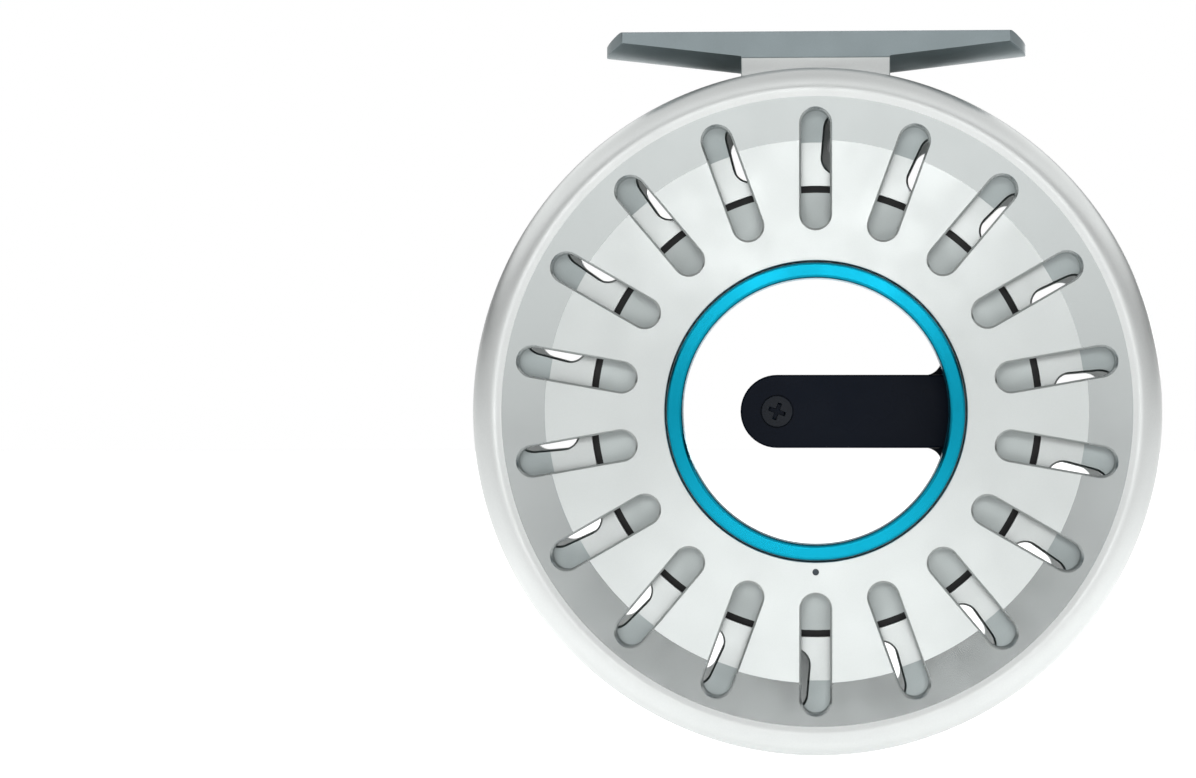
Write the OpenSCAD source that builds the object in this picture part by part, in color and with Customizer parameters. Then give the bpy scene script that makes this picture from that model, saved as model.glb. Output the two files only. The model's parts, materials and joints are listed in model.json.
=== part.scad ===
// Fly reel with an open centre: the spool has no shaft and turns on a fixed core.
// Millimetres. +X runs along the rod and +Z points from the spool to the rod. The spin
// axis lies along Y, with the handle on the -Y side. The origin is the middle of the
// plane through the two top edges of the foot.
// Places on the spin axis are given as a depth, which is 0 at the front edge of the
// dish cover and grows towards the rear. Angles are counted from +X towards +Z.

/* [Foot] */
// Length of the foot along the rod
foot_length = 63.4; // [60:0.1:66]
// Width of the foot across the rod
foot_width = 14.6; // [14.2:0.1:15]
// Radius of the saddle that the rod butt lies in
saddle_r = 14.3; // [13:0.1:18]
// Width of the flat on top of each long edge of the foot
rail_w = 0.5; // [0.3:0.1:0.8]
// Thickness of the foot at its tips
foot_tip_t = 1.5; // [1.2:0.1:2]
// Thickness of the foot beside the pedestal
foot_root_t = 3.9; // [3.6:0.1:4.2]
// Radius of the foot's rounded ends, seen from above
foot_end_r = 11.2; // [9:0.1:14]
// Length along the rod of the pedestal under the foot
pedestal_w = 22.3; // [20:0.1:24]
// Height of the foot's top edges above the spin axis
axis_drop = 57; // [56.8:0.1:57.5]

/* [Frame] */
// Depth of the middle of the foot
foot_depth = 20.7; // [20.5:0.1:21]
// Radius of the hole in the rear plate
plate_bore_r = 22.3; // [22.3:0.05:22.5]
// Depth of the rear plate's inner face
plate_inner = 31; // [31:0.1:31.2]
// Depth of the rear plate's outer face
plate_outer = 34.2; // [34:0.1:34.5]
// Radius where the rear plate's face starts to rise to the rim
plate_crease_r = 40; // [39:0.1:41]
// Radius of the frame rim's round section
rim_section_r = 4.6; // [4.5:0.1:4.7]
// Outer radius of the reel
reel_r = 51.2; // [51:0.1:51.4]
// Depth of the frame rim's front lip
rim_lip = 22.5; // [22.3:0.1:22.7]
// Inner radius of the frame rim
rim_inner_r = 48.8; // [48.75:0.05:48.9]
// Number of slots round the rear plate
plate_slots = 18; // [12:1:18]
// Radius where the rear slots start
plate_slot_in = 27.1; // [27.1:0.1:28]
// Radius where the rear slots end
plate_slot_out = 44.8; // [43:0.1:44.8]
// Width of the rear slots
plate_slot_w = 4.3; // [3.5:0.1:4.6]

/* [Spool] */
// Angle that the spool has turned from its slots-upright place
spool_turn = 5; // [0:1:10]
// Number of slot places round the spool
spool_places = 18; // [18:1:18]
// Inner radius of the spool
spool_bore_r = 34; // [34:0.05:34.1]
// Radius of the surface that the line is wound on
arbor_r = 35.5; // [35.2:0.1:36]
// Radius where the front slots start
spool_slot_in = 35.7; // [35.6:0.1:36.5]
// Radius where the front slots end
spool_slot_out = 44.5; // [43:0.1:44.6]
// Width of the spool's slots
spool_slot_w = 4.6; // [3.6:0.1:4.8]
// Depth of the front flange's flat face, in front of the dish edge
front_face = -1.2; // [-1.4:0.1:-1]
// Depth of the front flange's inner face
front_back = 1.9; // [1.8:0.1:2.2]
// Depth of the rear flange's inner face
rear_front = 23; // [22.9:0.1:23.1]
// Radius of the rear flange
rear_flange_r = 48.5; // [48.2:0.1:48.5]

/* [Handle] */
// Radius of the circle that the handle and the counterweight stand on
crank_r = 41.9; // [41:0.1:42.5]
// Length of the knob
knob_length = 22.5; // [18:0.5:26]
// Radius of the knob's two ends
knob_end_r = 5.15; // [4.8:0.05:5.5]
// Radius of the knob's waist
knob_waist_r = 3.6; // [3.5:0.1:4]
// Length of the counterweight, towards the rim
weight_length = 10.4; // [9:0.1:11]
// Width of the counterweight
weight_width = 7.4; // [6.5:0.1:8]
// Height of the counterweight
weight_height = 7.2; // [5:0.1:9]

/* [Core] */
// Radius of the open centre
centre_r = 21.3; // [21.3:0.05:21.35]
// Outer radius of the drag tube
tube_r = 22.2; // [22.2:0.01:22.2]
// Inner radius of the core sleeve
sleeve_in_r = 22.25; // [22.25:0.01:22.25]
// Outer radius of the core sleeve
sleeve_r = 24; // [24:0.05:24]
// Outer radius of the hub drum that carries the spool
drum_r = 33; // [32.95:0.05:33]
// Inner radius of the hub drum's wall
drum_in_r = 31.4; // [31.35:0.05:31.4]
// Depth of the hub drum's rear face
drum_back = 23.8; // [23.7:0.1:23.9]
// Radius of the dish cover's outer edge
dish_r = 33.1; // [33:0.05:33.1]
// Inner radius of the drag ring
drag_ring_in_r = 19.75; // [19.5:0.05:20]
// Outer radius of the drag ring
drag_ring_r = 22.06; // [22:0.01:22.1]
// Depth of the drag ring's rear face
drag_ring_back = 35; // [34.8:0.1:35.4]
// Width of the arm across the open centre
arm_width = 11.2; // [10.5:0.1:11.6]
// Distance of the arm's tip past the spin axis
arm_tip = 11.5; // [10:0.1:13]
// Depth of the arm's rear face
arm_back = 16.5; // [16:0.1:18]
// Travel of the thumb slide
slide_travel = 4.2; // [3.5:0.1:4.2]

/* [Hidden] */
$fn = 96;
through = 1;
thin = 0.05;

saddle_half = foot_width / 2 - rail_w;
saddle_sag = saddle_r - sqrt(pow(saddle_r, 2) - pow(saddle_half, 2));
wing_length = (foot_length - pedestal_w) / 2;
foot_slope = atan((foot_root_t - foot_tip_t) / wing_length);
pedestal_under_r = 49.2;
foot_screw_x = 6.5;
foot_screw_r = 1.25;
foot_screw_head_r = 2.3;
foot_screw_head_t = 1.05;
foot_screw_length = 5.4;

rim_centre_r = reel_r - rim_section_r;
rim_centre_depth = 30.9;
sleeve_screw_count = 6;
sleeve_screw_circle_r = 25.5;
sleeve_screw_r = 0.8;
sleeve_screw_head_r = 1.35;
sleeve_flange_r = 27;
sleeve_flange_front = 29.4;
sleeve_front = 12;
index_r = 23.8;

spool_lip_r = 33.4;
spool_pitch = 360 / spool_places;
handle_angle = spool_turn - 90;
weight_angle = spool_turn + 90;
front_crown_r = 48.8;
front_crown_section_r = 2.2;
front_crease_r = 46.8;
front_lip = 8.8;
rear_slot_in = 36;
rear_slot_out = 45;
latch_groove = [8.2, 9.7];
drive_keys = 3;
drive_key_w = 5;

arm_face = 9.05;
arm_tip_x = arm_tip - arm_width / 2;
slide_floor = 11;
recess_floor = 12;
recess_half = 3.2;
recess_left = -18.7;
slide_half = 3.1;
slide_left = -14.2;
slide_right = 8.3;
slide_step = -4.2;
slide_low = 10.2;
slide_pad_left = -8.5;
root_fillet_r = 3.8;
root_fillet_overlap = 0.03;
link_half = 1.2;
link_depth = [11.05, 11.9];
link_nose = -25.2;
arm_screw_r = 1.5;
arm_screw_head_r = 2.5;

dish_lip_r = 23.5;
dish_lip_depth = 7.5;
dish_collar = [sleeve_r + thin, 25.4];
dish_collar_end = 13;
dish_skirt_in_r = 31.8;
dish_skirt_end = 9.8;
latch_pivot = [-29.3, 4.2];
click_pivot = [19.8, 19.8];
click_nose = [15.05, 26.05];
latch_pocket = [8.2, 13.1];
latch_blade = [8.4, 9.5];
click_blade = [10.4, 11.7];
small_pin_r = 0.6;
small_bore_r = 0.63;

race_in = [sleeve_r, 25.2];
race_out = [27, 28.2];
ball_circle_r = 26.1;
ball_r = 0.85;
balls_per_race = 24;
front_bearing = [13.1, 15.1];
rear_bearing = [20, 22.6];
pressure_depth = [15.15, 15.85];
pressure_key_r = 21.8;
pressure_key_w = 4;
pressure_travel = 0.35;
rotor_depth = [17, 18.4];
rotor_rim_depth = [16, 19.4];
rotor_r = 29;
clutch_circle_r = 30.2;
roller_r = 1.15;
rollers = 12;
click_teeth = 36;
click_tip_r = 30.3;
drag_ring_front = 28.8;
wire_depth = 26.6;
wire_circle_r = 22.22;
wire_r = 0.35;

silver = "#c3c6c8";
black = "#1a222b";
steel = "#9aa0a5";
cyan = "#16a7c4";
bronze = "#a98b55";
seal_black = "#15171a";

// Puts a shape on the spin axis: its z is the depth
module on_axis() {
    translate([0, -foot_depth, -axis_drop]) rotate([-90, 0, 0]) children();
}

// Turns a shape on the axis to an angle, counted from +X towards +Z
module at_angle(a) {
    rotate([0, 0, -a]) children();
}

// Repeats a shape round the axis
module around(count, first = 0) {
    for (i = [0:count - 1]) at_angle(first + i * 360 / count) children();
}

// Extrudes an outline, drawn as seen from the front, between two depths
module slab(from, to) {
    translate([0, 0, from]) linear_extrude(to - from) mirror([0, 1]) children();
}

module ring(inner, outer, from, to) {
    rotate_extrude() translate([inner, from]) square([outer - inner, to - from]);
}

module disc(radius, from, to) {
    translate([0, 0, from]) cylinder(r = radius, h = to - from);
}

// Stadium outline from x1 to x2 along X
module stadium(x1, x2, half) {
    translate([x1 + half, 0]) circle(half);
    translate([x2 - half, 0]) circle(half);
    translate([x1 + half, -half]) square([x2 - x1 - 2 * half, 2 * half]);
}

// Straight bar outline of a width between two points
module bar(p, q, width) {
    span = q - p;
    translate(p) rotate(atan2(span[1], span[0])) translate([0, -width / 2])
        square([norm(span), width]);
}

// Radial slots cut through everything between two depths
module slots(count, first, inner, outer, width, from, to) {
    around(count, first) translate([0, 0, from]) linear_extrude(to - from)
        stadium(inner, outer, width / 2);
}

// Countersunk head, with its flat face at z = 0 and its shank towards -z
module countersunk(head_r, shank_r, head_t, length) {
    translate([0, 0, -head_t]) cylinder(r1 = shank_r, r2 = head_r, h = head_t);
    translate([0, 0, -length]) cylinder(r = shank_r, h = length - head_t + thin);
}

// Cross recess in a screw's head, cut down from z = 0
module cross_recess(size, deep) {
    for (turn = [0, 90]) rotate(turn + 20)
        translate([-size / 2, -size / 8, -deep]) cube([size, size / 4, deep + through]);
}

// Round wire wound about z, drawn as closed turns
module coil(radius, wire, height, turns) {
    pitch = (height - 2 * wire) / (turns - 1);
    for (i = [0:turns - 1]) translate([0, 0, wire + i * pitch])
        rotate_extrude() translate([radius, 0]) circle(wire);
}

// ---- Frame ----

module foot_outline() {
    intersection() {
        square([foot_length, foot_width], center = true);
        union() {
            square([foot_length - 2 * foot_end_r, foot_width], center = true);
            for (side = [-1, 1]) translate([side * (foot_length / 2 - foot_end_r), 0])
                circle(foot_end_r);
        }
    }
}

// One tapering half of the foot, whose underside is round like its saddle
module foot_wing() {
    intersection() {
        translate([0, 0, -3 * foot_root_t]) linear_extrude(3 * foot_root_t) foot_outline();
        translate([pedestal_w / 2, -foot_width, -3 * foot_root_t])
            cube([foot_length, 2 * foot_width, 4 * foot_root_t]);
        translate([pedestal_w / 2, 0, -foot_root_t - saddle_sag])
            rotate([0, -foot_slope, 0]) translate([-5, 0, saddle_r + saddle_sag / 4])
            rotate([0, 90, 0]) cylinder(r = saddle_r + saddle_sag / 4, h = foot_length);
    }
}

module reel_foot() {
    color(silver) difference() {
        union() {
            foot_wing();
            mirror([1, 0, 0]) foot_wing();
            translate([-pedestal_w / 2, -foot_width / 2, -foot_root_t])
                cube([pedestal_w, foot_width, foot_root_t]);
        }
        translate([-foot_length, 0, saddle_r - saddle_sag]) rotate([0, 90, 0])
            cylinder(r = saddle_r, h = 2 * foot_length);
        for (side = [-1, 1]) translate([side * foot_screw_x, 0, -saddle_sag])
            countersunk(foot_screw_head_r, foot_screw_r, foot_screw_head_t,
                foot_screw_length);
    }
}

module foot_screws() {
    color(steel) for (side = [-1, 1]) translate([side * foot_screw_x, 0, -saddle_sag])
        difference() {
            countersunk(foot_screw_head_r, foot_screw_r, foot_screw_head_t,
                foot_screw_length);
            cross_recess(2.4, 0.8);
        }
}

module plate_profile() {
    difference() {
        union() {
            polygon([[plate_bore_r, plate_inner], [plate_bore_r, plate_outer],
                [plate_crease_r, plate_outer], [45.9, 35.4], [rim_centre_r, plate_inner]]);
            translate([rim_centre_r, rim_centre_depth]) circle(rim_section_r);
            polygon([[rim_inner_r, plate_inner], [reel_r - 0.05, plate_inner],
                [reel_r - 0.15, 29.6], [reel_r - 1.75, rim_lip], [rim_inner_r, rim_lip]]);
        }
        translate([0, rim_lip - through])
            square([rim_inner_r, plate_inner - rim_lip + through]);
    }
}

module rear_plate() {
    color(silver) difference() {
        union() {
            on_axis() difference() {
                rotate_extrude() plate_profile();
                slots(plate_slots, 90, plate_slot_in, plate_slot_out, plate_slot_w,
                    plate_inner - through, drag_ring_back + 2);
            }
            difference() {
                translate([-pedestal_w / 2, -foot_width / 2, -4 * foot_root_t])
                    cube([pedestal_w, foot_width, 3 * foot_root_t]);
                on_axis() disc(pedestal_under_r, 0, drag_ring_back);
            }
        }
        for (side = [-1, 1]) translate([side * foot_screw_x, 0, -saddle_sag])
            translate([0, 0, -foot_screw_length])
            cylinder(r = foot_screw_r, h = foot_screw_length);
        on_axis() around(sleeve_screw_count, 30) translate([sleeve_screw_circle_r, 0, 0])
            disc(sleeve_screw_r, plate_inner - through, plate_outer - 1);
        on_axis() at_angle(-90) translate([index_r, 0, 0])
            disc(0.5, plate_outer - 0.3, plate_outer + through);
    }
}

module core_sleeve() {
    color(silver) on_axis() difference() {
        union() {
            ring(sleeve_in_r, sleeve_r, sleeve_front, plate_inner);
            ring(sleeve_in_r, sleeve_flange_r, sleeve_flange_front, plate_inner);
        }
        around(sleeve_screw_count, 30) translate([sleeve_screw_circle_r, 0, 0])
            disc(sleeve_screw_r, sleeve_flange_front - through, plate_inner + through);
        around(3, 90) translate([sleeve_in_r - 1, -pressure_key_w / 2 - thin,
            pressure_depth[0] - thin]) cube([4, pressure_key_w + 2 * thin,
            pressure_depth[1] - pressure_depth[0] + pressure_travel + 2 * thin]);
        rotate_extrude() translate([wire_circle_r, wire_depth]) circle(wire_r + thin);
    }
}

module sleeve_screws() {
    color(steel) on_axis() around(sleeve_screw_count, 30)
        translate([sleeve_screw_circle_r, 0, 0]) difference() {
            union() {
                disc(sleeve_screw_head_r, sleeve_flange_front - 0.9, sleeve_flange_front);
                disc(sleeve_screw_r, sleeve_flange_front - thin, plate_outer - 1.1);
            }
            translate([0, 0, sleeve_flange_front - 2]) cylinder(r = 0.7, h = 1.6, $fn = 6);
        }
}

module dish_profile() {
    polygon([[dish_r, 0], [dish_lip_r + 0.2, dish_lip_depth], [dish_lip_r, dish_lip_depth],
        [dish_lip_r, arm_face], [dish_collar[0], arm_face],
        [dish_collar[0], dish_collar_end], [dish_collar[1], dish_collar_end],
        [dish_collar[1], 9.3], [dish_skirt_in_r, 3.6], [dish_skirt_in_r, dish_skirt_end],
        [dish_r, dish_skirt_end]]);
}

module dish_cover() {
    color(black) on_axis() difference() {
        union() {
            rotate_extrude() dish_profile();
            slab(4.6, latch_blade[0] - thin) translate(latch_pivot) circle(1.9);
            slab(7, click_blade[0] - thin) translate(click_pivot) circle(1.6);
        }
        slab(6, 12) translate(latch_pivot) circle(small_pin_r);
        slab(8, 12) translate(click_pivot) circle(small_pin_r);
        slab(latch_groove[0], latch_groove[1]) translate([-36, -5.3]) square([5, 3.5]);
        slab(latch_pocket[0], latch_pocket[1]) translate([-28.2, 0.3]) square([3.8, 3.6]);
        slab(slide_floor - 0.02, sleeve_front) translate([-27, -link_half - 0.15])
            square([4, 2 * link_half + 0.3]);
    }
}

module arm_outline() {
    translate([arm_tip_x, 0]) circle(arm_width / 2);
    translate([-centre_r - 0.6, -arm_width / 2])
        square([centre_r + 0.6 + arm_tip_x, arm_width]);
}

// Fillets where the arm's sides run out into the ring
module arm_root() {
    centre_y = arm_width / 2 + root_fillet_r - root_fillet_overlap;
    centre_x = -sqrt(pow(centre_r - root_fillet_r, 2) - pow(centre_y, 2));
    reach = (centre_r + 0.3) / norm([centre_x, centre_y]);
    for (side = [-1, 1]) scale([1, side]) difference() {
        polygon([[centre_x, arm_width / 2 - 0.3], [-centre_r, arm_width / 2 - 0.3],
            [centre_x * reach, centre_y * reach], [centre_x, centre_y]]);
        translate([centre_x, centre_y]) circle(root_fillet_r);
    }
}

module centre_arm() {
    bearing_gap = 0.1;
    color(black) on_axis() difference() {
        union() {
            ring(centre_r, sleeve_r, arm_face, sleeve_front);
            ring(centre_r, tube_r, sleeve_front - thin, front_bearing[0] - bearing_gap);
            slab(arm_face, front_bearing[0] - bearing_gap) intersection() {
                union() {
                    arm_outline();
                    arm_root();
                }
                circle(centre_r + 0.4);
            }
            slab(front_bearing[0] - 2 * bearing_gap, arm_back) intersection() {
                arm_outline();
                circle(centre_r - 0.5);
            }
        }
        slab(arm_face - through, slide_floor) stadium(recess_left, 9.1, recess_half);
        slab(arm_face, recess_floor) intersection() {
            stadium(recess_left, 9.1, recess_half);
            translate([slide_pad_left, -5]) square([20, 10]);
        }
        slab(recess_floor - through, 15) translate([-13.5, -1.3]) square([8.6, 2.6]);
        slab(slide_floor - 0.02, sleeve_front + through)
            translate([-25, -link_half - 0.15]) square([17, 2 * link_half + 0.3]);
        translate([arm_tip_x, 0, arm_back])
            countersunk(arm_screw_head_r, arm_screw_r, 1.3, 5.5);
    }
}

module arm_screw() {
    color(steel) on_axis() translate([arm_tip_x, 0, arm_back]) difference() {
        countersunk(arm_screw_head_r, arm_screw_r, 1.3, 4.5);
        cross_recess(2.9, 1);
    }
}

// Rail with a wide head that the thumb slide runs on
module slide_keeper() {
    color(steel) on_axis() difference() {
        union() {
            slab(11.3, recess_floor) translate([-1, -1]) square([8.8, 2]);
            slab(10.7, 11.35) translate([-1, -1.6]) square([8.8, 3.2]);
        }
        translate([arm_tip_x, 0, 11.3]) cylinder(r = 0.9, h = 2);
    }
}

module bearing_inner_races() {
    color(steel) on_axis() for (place = [front_bearing, rear_bearing])
        ring(race_in[0], race_in[1], place[0], place[1]);
}

module bearing_balls() {
    color("#d8dadc") on_axis() for (place = [front_bearing, rear_bearing])
        around(balls_per_race) translate([ball_circle_r, 0, (place[0] + place[1]) / 2])
            sphere(ball_r, $fn = 24);
}

module thrust_ring() {
    color(steel) on_axis() difference() {
        ring(sleeve_r, 28, 19, 19.7);
        at_angle(-90) translate([sleeve_r - 1, -2, 18]) cube([6, 4, 3]);
    }
}

module drag_washers() {
    color("#3b3f43") on_axis() {
        ring(24.3, 27.8, 16.4, rotor_depth[0]);
        ring(24.3, 27.8, rotor_depth[1], 19);
    }
}

module drag_spring() {
    color(steel) on_axis() ring(24.4, 27.4, pressure_depth[1], 16.4);
}

module retaining_wire() {
    color(steel) on_axis() rotate_extrude(angle = 330)
        translate([wire_circle_r, wire_depth]) circle(wire_r);
}

module latch_pin() {
    color(steel) on_axis() slab(6, 10.4) translate(latch_pivot) circle(small_pin_r);
}

module latch_spring() {
    color(steel) on_axis() mirror([0, 1, 0])
        translate([latch_pivot[0], latch_pivot[1], 9.65]) coil(1.05, 0.12, 0.6, 2);
}

module slide_spring() {
    color(steel) on_axis() translate([-13.4, 0, 13.5]) rotate([0, 90, 0])
        coil(0.95, 0.15, 6.9, 7);
}

module click_pin() {
    color(steel) on_axis() slab(8, 12.1) translate(click_pivot) circle(small_pin_r);
}

module click_spring() {
    color(steel) on_axis() mirror([0, 1, 0])
        translate([click_pivot[0], click_pivot[1], 11.75]) coil(1.05, 0.08, 0.34, 2);
}

// ---- Spool ----

module front_profile() {
    polygon([[spool_lip_r, 0], [37.4, front_face], [front_crease_r, front_face],
        [front_crown_r, -2], [50.8, -0.7], [reel_r, 2.2], [reel_r, 5], [50.2, front_lip],
        [49.2, front_lip], [49.2, front_back], [spool_lip_r, front_back]]);
    translate([front_crown_r, 0]) circle(front_crown_section_r);
}

module spool_front_flange() {
    color(silver) on_axis() difference() {
        rotate_extrude() front_profile();
        for (i = [0:spool_places - 1]) if (i * spool_pitch % 180 != 0)
            slots(1, handle_angle + i * spool_pitch, spool_slot_in, spool_slot_out,
                spool_slot_w, front_face - through, front_back + through);
        at_angle(handle_angle) translate([crank_r, 0, 0])
            disc(1.8, front_face - through, front_back + through);
        at_angle(weight_angle) translate([crank_r, 0, 0])
            disc(1, front_face - through, front_back + through);
    }
}

// Line drum, with a groove for the latch and keys that the hub drum drives
module spool_arbor() {
    color(silver) on_axis() {
        difference() {
            ring(spool_bore_r, arbor_r, front_back, rear_front);
            ring(spool_bore_r - through, spool_bore_r + 0.7, latch_groove[0],
                latch_groove[1]);
        }
        around(drive_keys, spool_turn) intersection() {
            ring(drum_r + 0.2, spool_bore_r + 0.3, 11, 14);
            translate([0, -drive_key_w / 2, 10]) cube([40, drive_key_w, 6]);
        }
    }
}

module rear_flange_profile() {
    polygon([[spool_bore_r, rear_front], [spool_bore_r, 25], [40.5, 25],
        [rear_flange_r - 1.6, 25.85], [rear_flange_r - 0.4, 25.5],
        [rear_flange_r, 24.8], [rear_flange_r, 23.9], [rear_flange_r - 0.4, 23.2],
        [rear_flange_r - 1.2, rear_front]]);
}

module spool_rear_flange() {
    color(silver) on_axis() difference() {
        rotate_extrude() rear_flange_profile();
        slots(spool_places, handle_angle, rear_slot_in, rear_slot_out, spool_slot_w,
            rear_front - through, 27);
    }
}

module hub_drum() {
    color(silver) on_axis() difference() {
        union() {
            ring(drum_in_r, drum_r, 10.2, drum_back);
            ring(25.6, drum_in_r + thin, rear_bearing[1], drum_back);
            ring(race_out[1], 29.4, 19.9, rear_bearing[1] + thin);
        }
        around(drive_keys, spool_turn)
            translate([32, -drive_key_w / 2 - thin, 10.2 - through])
            cube([3, drive_key_w + 2 * thin, 14.4 - 10.2 + through]);
    }
}

module bearing_carrier() {
    color(steel) on_axis() ring(race_out[1], drum_in_r, front_bearing[0], front_bearing[1]);
}

module bearing_outer_races() {
    color(steel) on_axis() for (place = [front_bearing, rear_bearing])
        ring(race_out[0], race_out[1], place[0], place[1]);
}

module core_seal() {
    color(seal_black) on_axis() ring(sleeve_r + thin, 25.6, 22.75, drum_back);
}

module hub_o_rings() {
    color(seal_black) on_axis() {
        ring(drum_r, spool_bore_r, 15.5, 16.5);
        ring(drum_r, spool_bore_r, drum_back - 1.1, drum_back - 0.1);
    }
}

module click_ring() {
    color(steel) on_axis() difference() {
        ring(click_tip_r, drum_in_r, click_blade[0], click_blade[1]);
        around(click_teeth, 60) translate([click_tip_r, 0, 0])
            disc(0.95, click_blade[0] - through, click_blade[1] + through);
    }
}

module clutch_cage() {
    color(bronze) on_axis() difference() {
        ring(29.5, 30.9, 15.4, 19.6);
        around(rollers) translate([clutch_circle_r, 0, 0]) disc(roller_r + 0.1, 16.1, 19.3);
    }
}

module clutch_rollers() {
    color("#d8dadc") on_axis() around(rollers) translate([clutch_circle_r, 0, 0])
        disc(roller_r, 16.2, 19.2);
}

module weight_outline(inset) {
    rotate(90) translate([-weight_length / 2, 0])
        stadium(inset, weight_length - inset, weight_width / 2 - inset);
}

module counterweight() {
    color("#dfe3e6") on_axis() at_angle(weight_angle) translate([crank_r, 0, 0]) rotate(90)
        difference() {
            union() {
                translate([0, 0, front_face - weight_height + 0.7])
                    linear_extrude(weight_height - 0.7) weight_outline(0);
                translate([0, 0, front_face - weight_height]) hull() {
                    linear_extrude(thin) weight_outline(0.75, $fn = 64);
                    translate([0, 0, 0.35]) linear_extrude(thin)
                        weight_outline(0.2, $fn = 64);
                    translate([0, 0, 0.7]) linear_extrude(thin)
                        weight_outline(0.02, $fn = 64);
                }
            }
            disc(0.8, front_face - 4.5, front_face + through);
        }
}

module counterweight_screw() {
    color(steel) on_axis() at_angle(weight_angle) translate([crank_r, 0, 0]) {
        disc(0.8, front_face - 4.4, front_back + thin);
        disc(1.8, front_back, front_back + 1);
    }
}

module handle_axis() {
    on_axis() at_angle(handle_angle) translate([crank_r, 0, front_face]) mirror([0, 0, 1])
        children();
}

module handle_spindle() {
    color(steel) handle_axis() difference() {
        union() {
            translate([0, 0, front_face - front_back]) cylinder(r = 1.8, h = 20.6);
            cylinder(r = 3.1, h = 0.5);
        }
        translate([0, 0, 14]) cylinder(r = 0.8, h = 10);
    }
}

module spindle_screw() {
    color(steel) handle_axis() difference() {
        union() {
            translate([0, 0, 14.2]) cylinder(r = 0.8, h = 4);
            translate([0, 0, 17.6]) cylinder(r = 2.5, h = 1.2);
        }
        translate([0, 0, 19]) cross_recess(2.4, 0.9);
    }
}

module handle_knob() {
    waist_cut_r = 24;
    edge_r = 0.7;
    color(seal_black) handle_axis() rotate_extrude() difference() {
        union() {
            translate([0, 0.6]) square([knob_end_r, knob_length - 0.6 - edge_r]);
            translate([0, 0.6]) square([knob_end_r - edge_r, knob_length - 0.6]);
            translate([knob_end_r - edge_r, knob_length - edge_r]) circle(edge_r);
        }
        translate([knob_waist_r + waist_cut_r, knob_length / 2]) circle(waist_cut_r);
        translate([-through, 0]) square([2.4 + through, knob_length - 5.2]);
        translate([-through, 0]) square([2.9 + through, knob_length - 3.4]);
        translate([-through, knob_length - 3.6]) square([3.9 + through, 6]);
    }
}

module handle_cap() {
    color(seal_black) handle_axis() rotate_extrude() difference() {
        translate([0, knob_length - 1.5]) square([3.9, 1.4]);
        translate([0, knob_length + 29.4]) circle(30);
        translate([-5, knob_length - 3]) square([5, 4]);
    }
}

module handle_bushes() {
    color(bronze) handle_axis() for (start = [1, knob_length - 8.4])
        translate([0, 0, start]) difference() {
            cylinder(r = 2.9, h = 3);
            translate([0, 0, -through]) cylinder(r = 1.85, h = 5);
        }
}

// ---- Drag ----

module drag_ring() {
    edge_r = 0.5;
    color(cyan) on_axis() rotate_extrude() {
        translate([drag_ring_in_r, drag_ring_front])
            square([drag_ring_r - drag_ring_in_r, drag_ring_back - drag_ring_front - edge_r]);
        translate([drag_ring_in_r + edge_r, drag_ring_back - 2 * edge_r])
            square([drag_ring_r - drag_ring_in_r - 2 * edge_r, 2 * edge_r]);
        for (r = [drag_ring_in_r + edge_r, drag_ring_r - edge_r])
            translate([r, drag_ring_back - edge_r]) circle(edge_r);
    }
}

module drag_tube() {
    color(black) on_axis() difference() {
        union() {
            ring(centre_r, tube_r, front_bearing[0], drag_ring_front);
            ring(20.4, centre_r + thin, drag_ring_front - 0.9, drag_ring_front);
        }
        ring(pressure_key_r - thin, tube_r + 1, pressure_depth[0] - 0.2,
            pressure_depth[1] + pressure_travel + 0.2);
        rotate_extrude() translate([wire_circle_r, wire_depth]) circle(wire_r + thin);
    }
}

module pressure_ring() {
    color(steel) on_axis() {
        ring(sleeve_r + thin, 27.6, pressure_depth[0], pressure_depth[1]);
        around(3, 90) intersection() {
            ring(pressure_key_r, sleeve_r + 0.2, pressure_depth[0], pressure_depth[1]);
            translate([20, -pressure_key_w / 2, 0]) cube([6, pressure_key_w, 40]);
        }
    }
}

module drag_rotor() {
    color(steel) on_axis() {
        ring(24.6, 28.2, rotor_depth[0], rotor_depth[1]);
        ring(28, rotor_r, rotor_rim_depth[0], rotor_rim_depth[1]);
    }
}

// ---- Release and click ----

module thumb_slide() {
    color(black) on_axis() difference() {
        union() {
            slab(slide_low, slide_floor - thin)
                stadium(slide_left, slide_right, slide_half);
            slab(arm_face - 0.05, recess_floor - thin) intersection() {
                stadium(slide_left, slide_right, slide_half);
                translate([slide_step, -5]) square([20, 10]);
            }
        }
        slab(11.2, recess_floor + through) translate([-1.2, -1.1]) square([12, 2.2]);
        slab(10.6, 11.45) translate([-1.2, -1.7]) square([12, 3.4]);
        slab(link_depth[0] - thin, recess_floor + through)
            translate([slide_step - through, -link_half]) square([2, 2 * link_half]);
    }
}

// Bar under the thumb slide: its sloped top edge tilts the latch lever, and its peg
// presses on the return spring
module slide_link() {
    link_end = slide_step + 1;
    color(black) on_axis() {
        slab(link_depth[0], link_depth[1]) polygon([[link_end, -link_half],
            [link_nose, -link_half], [link_nose, link_half - 0.45],
            [link_nose + slide_travel, link_half], [link_end, link_half]]);
        slab(link_depth[1] - thin, 14.6) translate([-6.4, -link_half])
            square([1.2, 2 * link_half]);
    }
}

module latch_lever() {
    color(steel) on_axis() {
        slab(latch_blade[0], latch_blade[1]) difference() {
            union() {
                translate(latch_pivot) circle(1.8);
                bar(latch_pivot, [-30.6, -3], 2);
                bar([-30, -3.3], [-34.15, -3.3], 1.6);
                bar(latch_pivot, [-25.6, 1.9], 1.9);
            }
            translate(latch_pivot) circle(small_bore_r);
        }
        slab(latch_blade[0] + 0.2, link_depth[1])
            translate([-26.6, link_half - 0.4]) square([1.3, 1.6]);
    }
}

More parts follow.
